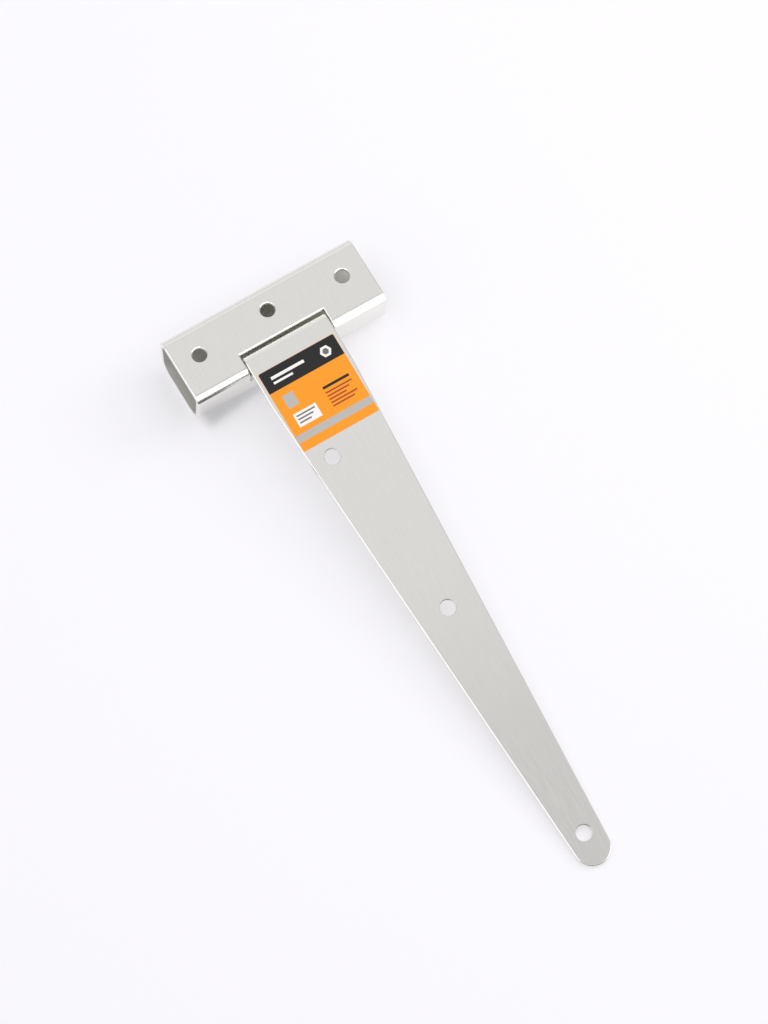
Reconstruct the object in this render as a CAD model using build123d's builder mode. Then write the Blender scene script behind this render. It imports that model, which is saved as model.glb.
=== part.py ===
from build123d import *
import os
from math import asin, atan, cos, degrees, hypot, radians, tan

# Tee hinge in millimetres, lying on its back as it comes to rest.
# X runs along the crosspiece, +Y from the hinge pin to the crosspiece's far edge, and +Z out of
# the mounting face. The origin is on the mounting face, in the middle of the crosspiece.

# Sheet steel and hinge pin
sheet = 2.5                     # thickness of both leaves
edge_round = 0.7                # tumbled cut edges
hole_break = 0.4                # chamfer on the front rims of the holes
pin_dia = 6.0
pin_clearance = 0.05            # radial, in the crosspiece's bend and in the strap's eye
pin_recess = 9.0                # from each open end of the crosspiece to the pin
pin_chamfer = 0.6

# Crosspiece: a folded tube, with its front bend wrapped round the pin
cross_length = 110.0
cross_width = 39.0
cross_depth = 35.0
near_lean = 4.8                 # degrees that the near wall leans in towards the mounting face
near_foot_radius = 11.0         # outer bend radii of the section
far_foot_radius = 10.0
far_front_radius = 6.0
cross_hole_dia = 7.6
outer_hole_spacing = 83.0
outer_hole_setback = 17.0       # from the far edge
middle_hole_setback = 13.6

# Notch in the crosspiece for the strap's eye
notch_gap = 0.3                 # between the eye and the notch's far and lower edges
notch_side_gap = 0.5            # on each side of the eye
notch_lip_round = 1.4           # rolled front edge, along the eye

# Strap: a flat leaf, rolled into an eye at its wide end
strap_reach = 305.0             # from the pin's axis to the tip
strap_root_width = 48.0
strap_shoulder = 25.0           # from the pin's axis to the start of the taper
strap_tip_radius = 9.5
strap_hole_dia = 8.2
eye_turn = 300.0                # degrees that the sheet is rolled through
root_hole_reach = 62.0          # hole distances from the pin's axis
root_hole_offset = -10.6        # the root hole stands off the middle line
middle_hole_reach = 157.0
tip_hole_setback = 17.5         # from the tip

# Label on the strap's top face
label_thickness = 0.15
label_start = 7.2               # from the pin's axis
label_length = 45.8
label_margin = 0.7              # least distance to the strap's edge
label_corner = 0.6

# Fits and places that follow from the sizes above
eye_bore = pin_dia / 2 + pin_clearance
eye_radius = eye_bore + sheet
pin_height = cross_depth - eye_radius
near_edge = -cross_width / 2
far_edge = cross_width / 2
pin_y = near_edge + eye_radius
near_foot = pin_y + pin_height * tan(radians(near_lean)) - eye_radius / cos(radians(near_lean))
near_front = pin_y - eye_radius * tan(radians(45 + near_lean / 2))
notch_edge = pin_y + eye_radius + notch_gap
notch_floor = pin_height - eye_radius - notch_gap
notch_width = strap_root_width + 2 * notch_side_gap

# The strap slopes until the underside of its tip meets the surface under the mounting face
rest_tilt = degrees(asin(pin_height / hypot(strap_reach, eye_bore)) + atan(eye_bore / strap_reach))
strap_plane = Plane((0, pin_y, pin_height)).rotated((rest_tilt, 0, 0))
strap_side = Plane(strap_plane.origin, x_dir=strap_plane.y_dir, z_dir=strap_plane.x_dir)

# Crosspiece
with BuildPart() as crosspiece:
    with BuildSketch(Plane.YZ):
        with BuildLine():
            FilletPolyline(
                (near_foot, 0),
                (far_edge, 0),
                (far_edge, cross_depth),
                (near_front, cross_depth),
                radius=(near_foot_radius, far_foot_radius, far_front_radius, eye_radius),
                close=True,
            )
        make_face()
        offset(amount=-sheet, mode=Mode.SUBTRACT)
    extrude(amount=cross_length / 2, both=True)

    with BuildSketch(Plane.YZ):
        with Locations((notch_edge, notch_floor)):
            Rectangle(cross_width, cross_depth, align=(Align.MAX, Align.MIN))
    extrude(amount=notch_width / 2, both=True, mode=Mode.SUBTRACT)

    with Locations((0, far_edge - outer_hole_setback, cross_depth)):
        with GridLocations(outer_hole_spacing, 0, 2, 1):
            Hole(cross_hole_dia / 2)
    with Locations((0, far_edge - middle_hole_setback, cross_depth)):
        Hole(cross_hole_dia / 2)

    front_face = crosspiece.faces().sort_by(Axis.Z)[-1]
    chamfer(front_face.inner_wires().edges(), hole_break)

    front_edges = crosspiece.faces().sort_by(Axis.Z)[-1].edges()
    fillet(front_edges.filter_by(Axis.X).sort_by(Axis.Y)[-2], notch_lip_round)

    front_edges = crosspiece.faces().sort_by(Axis.Z)[-1].edges()
    notch_sides = front_edges.filter_by(Axis.Y).sort_by(Axis.X)[1:-1]
    ends = crosspiece.faces().sort_by(Axis.X)
    end_rims = ends[0].outer_wire().edges() + ends[-1].outer_wire().edges()
    fillet([*notch_sides, *end_rims], edge_round)

# Hinge pin
with BuildPart() as hinge_pin:
    with BuildSketch(Plane.YZ):
        with Locations((pin_y, pin_height)):
            Circle(pin_dia / 2)
    extrude(amount=cross_length / 2 - pin_recess, both=True)
    chamfer(hinge_pin.edges().filter_by(GeomType.CIRCLE), pin_chamfer)

# Strap: the sheet's run and rolled eye from the side, then trimmed to its outline from above
with BuildPart() as strap:
    with BuildSketch(strap_side):
        with BuildLine():
            outside = CenterArc((0, 0), eye_radius, 90, -eye_turn)
            inside = CenterArc((0, 0), eye_bore, 90, -eye_turn)
            Line(outside @ 1, inside @ 1)
            Polyline(outside @ 0, (-strap_reach, eye_radius), (-strap_reach, eye_bore), inside @ 0)
        make_face()
    extrude(amount=strap_root_width / 2, both=True)

    with BuildSketch(strap_plane):
        with Locations((0, eye_radius)):
            Rectangle(strap_root_width, eye_radius + strap_shoulder, align=(Align.CENTER, Align.MAX))
        with Locations((0, strap_tip_radius - strap_reach)):
            Circle(strap_tip_radius)
        make_hull()
    extrude(amount=eye_radius, both=True, mode=Mode.INTERSECT)

    with Locations(strap_plane.offset(eye_radius)):
        with Locations(
            (root_hole_offset, -root_hole_reach),
            (0, -middle_hole_reach),
            (0, tip_hole_setback - strap_reach),
        ):
            Hole(strap_hole_dia / 2, depth=sheet)

    strap_up = Axis(strap_plane.origin, strap_plane.z_dir)
    top_face = strap.faces().sort_by(strap_up)[-1]
    chamfer(top_face.inner_wires().edges(), hole_break)
    top_rim = strap.faces().sort_by(strap_up)[-1].outer_wire().edges()
    fillet(top_rim.filter_by(Axis.X, reverse=True), edge_round)

# Label
strap_tip_width = 2 * strap_tip_radius
taper = (strap_root_width - strap_tip_width) / (strap_reach - strap_tip_radius - strap_shoulder)
label_end = label_start + label_length
label_width = strap_root_width - taper * (label_end - strap_shoulder) - 2 * label_margin

with BuildPart() as label:
    with BuildSketch(strap_plane.offset(eye_radius)):
        with Locations((0, -label_start)):
            RectangleRounded(label_width, label_length, label_corner, align=(Align.CENTER, Align.MAX))
    extrude(amount=label_thickness)

# One file for each piece
os.makedirs("parts", exist_ok=True)
crosspiece.part.label = "crosspiece"
hinge_pin.part.label = "hinge_pin"
strap.part.label = "strap"
label.part.label = "label"
export_step(crosspiece.part, "parts/crosspiece.step")
export_step(hinge_pin.part, "parts/hinge_pin.step")
export_step(strap.part, "parts/strap.step")
export_step(label.part, "parts/label.step")
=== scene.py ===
from math import cos, pi, radians, sin

import bpy
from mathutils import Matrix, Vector


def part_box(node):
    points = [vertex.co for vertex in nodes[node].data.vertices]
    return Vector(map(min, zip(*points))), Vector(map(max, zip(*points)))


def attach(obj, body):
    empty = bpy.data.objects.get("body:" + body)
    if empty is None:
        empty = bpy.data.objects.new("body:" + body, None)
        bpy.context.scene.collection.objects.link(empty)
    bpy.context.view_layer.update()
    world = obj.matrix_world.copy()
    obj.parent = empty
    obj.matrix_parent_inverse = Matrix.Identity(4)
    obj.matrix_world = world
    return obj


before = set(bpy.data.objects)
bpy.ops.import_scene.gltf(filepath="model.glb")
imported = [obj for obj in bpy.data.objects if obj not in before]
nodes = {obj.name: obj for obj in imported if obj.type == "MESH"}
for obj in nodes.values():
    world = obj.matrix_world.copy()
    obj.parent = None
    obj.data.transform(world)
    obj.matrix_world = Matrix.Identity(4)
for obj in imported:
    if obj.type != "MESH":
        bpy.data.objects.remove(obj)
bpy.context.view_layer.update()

# Tee hinge in metres, in the frame of its solids: X along the crosspiece, the strap towards -Y,
# +Z out of the mounting face, origin on that face in the middle of the crosspiece.
mm = 0.001
scene = bpy.context.scene


# Finishes
def linear(hex_colour):
    """Linear RGBA of an sRGB hex colour."""
    colour = []
    for start in (1, 3, 5):
        share = int(hex_colour[start:start + 2], 16) / 255
        colour.append(share / 12.92 if share <= 0.04045 else ((share + 0.055) / 1.055) ** 2.4)
    return (*colour, 1.0)


def add_node(tree, kind, inputs=None, **settings):
    """A new node. Each input is a plain value, or the output that feeds it."""
    made = tree.nodes.new(kind)
    for name, value in settings.items():
        setattr(made, name, value)
    for name, value in (inputs or {}).items():
        if isinstance(value, bpy.types.NodeSocket):
            tree.links.new(value, made.inputs[name])
        else:
            made.inputs[name].default_value = value
    return made


def new_material(name):
    """An empty material, and its node tree."""
    material = bpy.data.materials.new(name)
    material.use_nodes = True
    material.node_tree.nodes.clear()
    return material, material.node_tree


def fine_lines(tree, sizes, detail, roughness):
    """Noise drawn out to the given sizes along X, Y and Z, as a brush or a die leaves it."""
    place = add_node(tree, "ShaderNodeTexCoord").outputs["Object"]
    stretched = add_node(
        tree,
        "ShaderNodeMapping",
        {"Vector": place, "Scale": tuple(1 / size for size in sizes)},
    )
    noise = add_node(
        tree,
        "ShaderNodeTexNoise",
        {
            "Vector": stretched.outputs["Vector"],
            "Scale": 1.0,
            "Detail": detail,
            "Roughness": roughness,
        },
    )
    return noise.outputs["Fac"]


def inside_share(tree, middle):
    """1 on faces that look at the middle line of a tube along X, 0 on its outside."""
    least_inward = -0.1 * mm
    spot = add_node(tree, "ShaderNodeTexCoord")
    off_middle = add_node(
        tree,
        "ShaderNodeVectorMath",
        {0: spot.outputs["Object"], 1: middle},
        operation="SUBTRACT",
    )
    across = add_node(
        tree,
        "ShaderNodeVectorMath",
        {0: off_middle.outputs["Vector"], 1: (0, 1, 1)},
        operation="MULTIPLY",
    )
    facing = add_node(
        tree,
        "ShaderNodeVectorMath",
        {0: across.outputs["Vector"], 1: spot.outputs["Normal"]},
        operation="DOT_PRODUCT",
    )
    return add_node(
        tree,
        "ShaderNodeMath",
        {0: facing.outputs["Value"], 1: least_inward},
        operation="LESS_THAN",
    ).outputs["Value"]


def satin_brushed_steel(name, tube_middle=None):
    """Zinc plated sheet steel, satin brushed: pale warm grey with hair-fine lines along the strap.

    The sheet was brushed before it was bent, so the lines follow it round the bends. The inside of
    a tube was never brushed, so a dull film there spreads the light that gets in.
    """
    material, tree = new_material(f"satin_brushed_zinc_plated_steel_{name}")
    # Brush lines are 0.1 mm wide, which is too fine to show, so they are drawn 0.5 mm wide
    line_width = 0.5 * mm
    line_length = 12 * mm
    lines = fine_lines(tree, (line_width, line_length, line_length), detail=3.0, roughness=0.6)
    shade = add_node(
        tree,
        "ShaderNodeMix",
        {"Factor": lines, "A": linear("#E9E8E3"), "B": linear("#F5F4EF")},
        data_type="RGBA",
    )
    gloss = add_node(
        tree,
        "ShaderNodeMapRange",
        {"Value": lines, "To Min": 0.2, "To Max": 0.3},
    )
    relief = add_node(
        tree,
        "ShaderNodeBump",
        {"Height": lines, "Strength": 0.1, "Distance": 0.02 * mm},
    )
    colour = shade.outputs["Result"]
    roughness = gloss.outputs["Result"]
    metal = 1.0
    if tube_middle:
        inside = inside_share(tree, tube_middle)
        grey = add_node(
            tree,
            "ShaderNodeMix",
            {"Factor": inside, "A": colour, "B": linear("#CAC8C2")},
            data_type="RGBA",
        )
        dull = add_node(tree, "ShaderNodeMix", {"Factor": inside, "A": roughness, "B": 0.6})
        bare = add_node(tree, "ShaderNodeMix", {"Factor": inside, "A": metal, "B": 0.2})
        colour = grey.outputs["Result"]
        roughness = dull.outputs["Result"]
        metal = bare.outputs["Result"]
    surface = add_node(
        tree,
        "ShaderNodeBsdfPrincipled",
        {
            "Base Color": colour,
            "Metallic": metal,
            "Roughness": roughness,
            "Normal": relief.outputs["Normal"],
        },
    )
    add_node(tree, "ShaderNodeOutputMaterial", {"Surface": surface.outputs["BSDF"]})
    return material


def drawn_steel():
    """Cold-drawn steel rod: darker and smoother than the leaves, with lines along its length."""
    material, tree = new_material("cold_drawn_bright_steel")
    line_width = 0.4 * mm
    line_length = 25 * mm
    lines = fine_lines(tree, (line_length, line_width, line_width), detail=2.0, roughness=0.5)
    shade = add_node(
        tree,
        "ShaderNodeMix",
        {"Factor": lines, "A": linear("#A9A8A5"), "B": linear("#C2C1BE")},
        data_type="RGBA",
    )
    gloss = add_node(
        tree,
        "ShaderNodeMapRange",
        {"Value": lines, "To Min": 0.22, "To Max": 0.36},
    )
    surface = add_node(
        tree,
        "ShaderNodeBsdfPrincipled",
        {
            "Base Color": shade.outputs["Result"],
            "Metallic": 1.0,
            "Roughness": gloss.outputs["Result"],
        },
    )
    add_node(tree, "ShaderNodeOutputMaterial", {"Surface": surface.outputs["BSDF"]})
    return material


def printed_film(name, hex_colour):
    """Printed polypropylene film: an even ink with a faint mottle, under a thin satin varnish."""
    material, tree = new_material(f"printed_polypropylene_film_{name}")
    place = add_node(tree, "ShaderNodeTexCoord").outputs["Object"]
    mottle_size = 1.2 * mm
    mottle = add_node(
        tree,
        "ShaderNodeTexNoise",
        {"Vector": place, "Scale": 1 / mottle_size, "Detail": 2.0},
    )
    depth = add_node(
        tree,
        "ShaderNodeMapRange",
        {"Value": mottle.outputs["Fac"], "To Min": 0.96, "To Max": 1.04},
    )
    shade = add_node(
        tree,
        "ShaderNodeHueSaturation",
        {"Color": linear(hex_colour), "Value": depth.outputs["Result"]},
    )
    surface = add_node(
        tree,
        "ShaderNodeBsdfPrincipled",
        {"Base Color": shade.outputs["Color"], "Roughness": 0.5, "IOR": 1.49},
    )
    add_node(tree, "ShaderNodeOutputMaterial", {"Surface": surface.outputs["BSDF"]})
    return material


def dress(node_name, material):
    """Gives a CAD node its finish."""
    node = nodes[node_name]
    node.data.materials.clear()
    node.data.materials.append(material)


cross_low, cross_high = (Vector(corner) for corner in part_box("crosspiece"))
dress("crosspiece", satin_brushed_steel("crosspiece", (cross_low + cross_high) / 2))
dress("strap", satin_brushed_steel("strap"))
dress("hinge_pin", drawn_steel())
dress("label", printed_film("orange", "#FF9A00"))


# Label's print: plain shapes in the label's own plane, in millimetres from the middle of its edge
# next to the pin, X across the strap and Y along it to the tip
label_mesh = nodes["label"].data
label_top = max(label_mesh.polygons, key=lambda face: face.area * face.normal.z)
label_normal = Vector(label_top.normal)
label_along = label_normal.cross(Vector((-1, 0, 0))).normalized()
label_corners = [vertex.co for vertex in label_mesh.vertices]
label_start = min(corner.dot(label_along) for corner in label_corners)
label_level = max(corner.dot(label_normal) for corner in label_corners)
label_half = max(corner.x for corner in label_corners) / mm
ink = 0.03 * mm                 # thickness of one ink layer
row_pitch = 1.9                 # of the fine rows
row_height = 0.8


def bar(left, top, right, bottom):
    """A plain rectangle."""
    return [(left, top), (right, top), (right, bottom), (left, bottom)]


def fine_rows(left, first_top, right_ends):
    """Thin bars under one another, one for each right end."""
    tops = [first_top + row_pitch * row for row in range(len(right_ends))]
    return [bar(left, top, right, top + row_height) for top, right in zip(tops, right_ends)]


def hexagon(across, down, radius):
    """A regular hexagon about a middle point."""
    turns = [radians(60 * step) for step in range(6)]
    return [(across + radius * cos(turn), down + radius * sin(turn)) for turn in turns]


def ink_patch(name, hex_colour, layer, outlines):
    """One colour of the print: thin flat prisms, one for each outline, on the given ink layer."""
    points = []
    faces = []
    for outline in outlines:
        first = len(points)
        count = len(outline)
        for level in (layer, layer + 1):
            height = label_normal * (label_level + level * ink)
            for across, along in outline:
                point = label_along * (label_start + along * mm) + height
                points.append(point + Vector((across * mm, 0, 0)))
        low = list(range(first, first + count))
        high = [index + count for index in low]
        faces.append(low)
        faces.append(high[::-1])
        for here in range(count):
            after = (here + 1) % count
            faces.append((low[after], low[here], high[here], high[after]))
    mesh = bpy.data.meshes.new(name)
    mesh.from_pydata(points, [], faces)
    mesh.materials.append(printed_film(name, hex_colour))
    piece = bpy.data.objects.new(name, mesh)
    scene.collection.objects.link(piece)
    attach(piece, "strap_leaf")


print_margin = 0.1
print_edge = label_half - print_margin
corner_cut = 0.6
header_end = 11.8
header = [
    (corner_cut - print_edge, print_margin),
    (print_edge - corner_cut, print_margin),
    (print_edge, corner_cut),
    (print_edge, header_end),
    (-print_edge, header_end),
    (-print_edge, corner_cut),
]
left_column = -17.0
right_column = 3.0
right_column_end = 18.0
title = bar(left_column, 4.2, 2.0, 5.8)
subtitle = bar(left_column, 7.2, -6.0, 8.4)
nut_across, nut_down = 14.0, 6.2
nut = hexagon(nut_across, nut_down, 3.2)
nut_hole = hexagon(nut_across, nut_down, 1.8)
swatch = bar(left_column, 15.5, -11.0, 23.0)
heading = bar(right_column, 21.5, right_column_end, 22.9)
heading_rows = fine_rows(right_column, 24.6, [right_column_end, 15.5, 13.0, right_column_end, 15.5])
panel = bar(left_column, 26.5, -4.0, 34.0)
panel_rows = fine_rows(-15.8, 27.8, [-5.2, -7.2, -9.2])
foot_band = bar(-print_edge, 37.0, print_edge, 41.0)

ink_patch("label_dark_ink", "#0E0D0E", 0, [header, heading])
ink_patch("label_silver_ink", "#B9B6B1", 0, [foot_band, swatch])
ink_patch("label_white_ink", "#F6F4F0", 1, [panel, title, subtitle, nut])
ink_patch("label_brown_ink", "#A8400C", 1, heading_rows)
ink_patch("label_grey_ink", "#6E6A68", 2, [nut_hole, *panel_rows])


# Studio
studio_white = "#FDFCFF"


def stage_sheet(name, material, middle, width_side, height_side):
    """A flat rectangle of the stage, from its middle and its two half sides."""
    middle, width_side, height_side = Vector(middle), Vector(width_side), Vector(height_side)
    corners = [
        middle - width_side - height_side,
        middle + width_side - height_side,
        middle + width_side + height_side,
        middle - width_side + height_side,
    ]
    mesh = bpy.data.meshes.new(name)
    mesh.from_pydata(corners, [], [(0, 1, 2, 3)])
    mesh.materials.append(material)
    sheet = bpy.data.objects.new(name, mesh)
    scene.collection.objects.link(sheet)
    return sheet


def plain_sheet(name, hex_colour, glow=0.0):
    """Plain matt sheet, lit from below where it glows."""
    material, tree = new_material(name)
    surface = add_node(
        tree,
        "ShaderNodeBsdfPrincipled",
        {
            "Base Color": linear(hex_colour),
            "Roughness": 0.9,
            "Specular IOR Level": 0.1,
            "Emission Color": linear(studio_white),
            "Emission Strength": glow,
        },
    )
    add_node(tree, "ShaderNodeOutputMaterial", {"Surface": surface.outputs["BSDF"]})
    return material


def reflected_card(name, material, middle, half_width, half_height):
    """An upright card along X that shows only in the metal's reflections."""
    card = stage_sheet(name, material, middle, (half_width, 0, 0), (0, 0, half_height))
    card.visible_camera = False
    card.visible_diffuse = False
    card.visible_shadow = False


def soft_box(name, middle, aim, size, brightness, diffuse=True, glossy=True):
    """A rectangular soft light. Brightness is its radiance, where 1 shows as white.

    Without diffuse it shows only in reflections, and without glossy it shows in none.
    """
    width, height = size
    data = bpy.data.lights.new(name, "AREA")
    data.shape = "RECTANGLE"
    data.size = width
    data.size_y = height
    data.energy = pi * width * height * brightness
    light = bpy.data.objects.new(name, data)
    light.location = middle
    light.rotation_mode = "QUATERNION"
    light.rotation_quaternion = (Vector(aim) - Vector(middle)).to_track_quat("-Z", "Y")
    light.visible_diffuse = diffuse
    light.visible_glossy = glossy
    scene.collection.objects.link(light)


def studio():
    """A light table in a pale room, with soft boxes and cards for the metal to reflect."""
    world = bpy.data.worlds.new("studio")
    world.use_nodes = True
    tree = world.node_tree
    tree.nodes.clear()
    sky = add_node(
        tree,
        "ShaderNodeBackground",
        {"Color": linear(studio_white), "Strength": 0.58},
    )
    add_node(tree, "ShaderNodeOutputWorld", {"Surface": sky.outputs["Background"]})
    scene.world = world

    # The light table whitens the holes and keeps the shadows faint
    floor_half = 4.0
    floor_drop = 0.05 * mm
    opal = plain_sheet("opal_acrylic_lit_from_below", "#BEBDC0", glow=0.45)
    stage_sheet("floor", opal, (0, 0, -floor_drop), (floor_half, 0, 0), (0, floor_half, 0))

    # The charcoal cards draw the dark line under the near bend, the grey one the line at the tip
    charcoal = plain_sheet("charcoal_paper", "#262424")
    grey = plain_sheet("grey_paper", "#7C7A78")
    reflected_card("front_card", charcoal, (0.1, -1.3, 0.15), half_width=1.2, half_height=0.15)
    reflected_card("tip_card", grey, (-0.09, -0.362, 0.058), half_width=0.12, half_height=0.058)
    reflected_card(
        "corner_card",
        charcoal,
        (-0.08, -0.072, 0.013),
        half_width=0.05,
        half_height=0.013,
    )

    # A small flag deepens the shadow along the foot of the crosspiece's left half. It slants in
    # under the crosspiece, so that the shadow narrows towards the strap and ends under it.
    flag = stage_sheet(
        "corner_flag",
        charcoal,
        middle=(-0.0155, -0.0131, 0.0022),
        width_side=(0.0355, 0.0049, -0.001),
        height_side=(0, 0.0049, -0.0012),
    )
    flag.visible_camera = False
    flag.visible_glossy = False

    # Shows in the crosspiece's face and the strap's root
    soft_box(
        "overhead",
        middle=(0.17, 0.3, 1.0),
        aim=(0.17, 0.3, 0.0),
        size=(1.0, 1.0),
        brightness=0.25,
    )
    # Shows in the far bend
    soft_box(
        "back",
        middle=(0.2, 1.5, 0.8),
        aim=(0.2, 0.0, 0.02),
        size=(3.0, 1.2),
        brightness=0.34,
        diffuse=False,
    )
    # The white band on the near bend
    soft_box(
        "front",
        middle=(0.12, -0.9, 0.68),
        aim=(0.0, 0.0, 0.02),
        size=(2.2, 0.94),
        brightness=1.6,
        diffuse=False,
    )
    # The white rims on the left
    soft_box(
        "left",
        middle=(-0.9, -0.1, 0.7),
        aim=(0.0, -0.1, 0.02),
        size=(1.2, 0.8),
        brightness=1.4,
        diffuse=False,
    )
    # Widens the white band on the near bend's right half
    soft_box(
        "side",
        middle=(0.085, -0.075, 0.042),
        aim=(0.085, 0.0, 0.042),
        size=(0.1, 0.048),
        brightness=1.2,
        diffuse=False,
    )
    # Lights the floor and the label
    soft_box(
        "ceiling",
        middle=(0.3, -0.1, 2.6),
        aim=(0.3, -0.1, 0.0),
        size=(4.0, 4.0),
        brightness=0.74,
        glossy=False,
    )
    # Casts the shadows to the left
    soft_box(
        "key",
        middle=(1.3, -0.2, 1.0),
        aim=(0.0, -0.1, 0.0),
        size=(0.7, 0.7),
        brightness=3.0,
        glossy=False,
    )


def camera():
    """The photograph's view, from a fit to the hinge's edges and holes."""
    azimuth = radians(-30.7684)
    elevation = radians(71.5)
    target = Vector((1.4281 * mm, -106.2298 * mm, 0))
    distance = 2265.6 * mm
    focal_px = 4500
    image_height_px = 1024
    sensor = 36.0
    back = Vector((sin(azimuth) * cos(elevation), -cos(azimuth) * cos(elevation), sin(elevation)))
    data = bpy.data.cameras.new("camera")
    data.sensor_width = sensor
    data.lens = focal_px / image_height_px * sensor
    data.clip_start = 0.1
    data.clip_end = 20
    made = bpy.data.objects.new("camera", data)
    made.rotation_mode = "QUATERNION"
    made.location = target + back * distance
    made.rotation_quaternion = (-back).to_track_quat("-Z", "Y")
    scene.collection.objects.link(made)
    scene.camera = made


studio()
camera()
scene.view_settings.view_transform = "Standard"
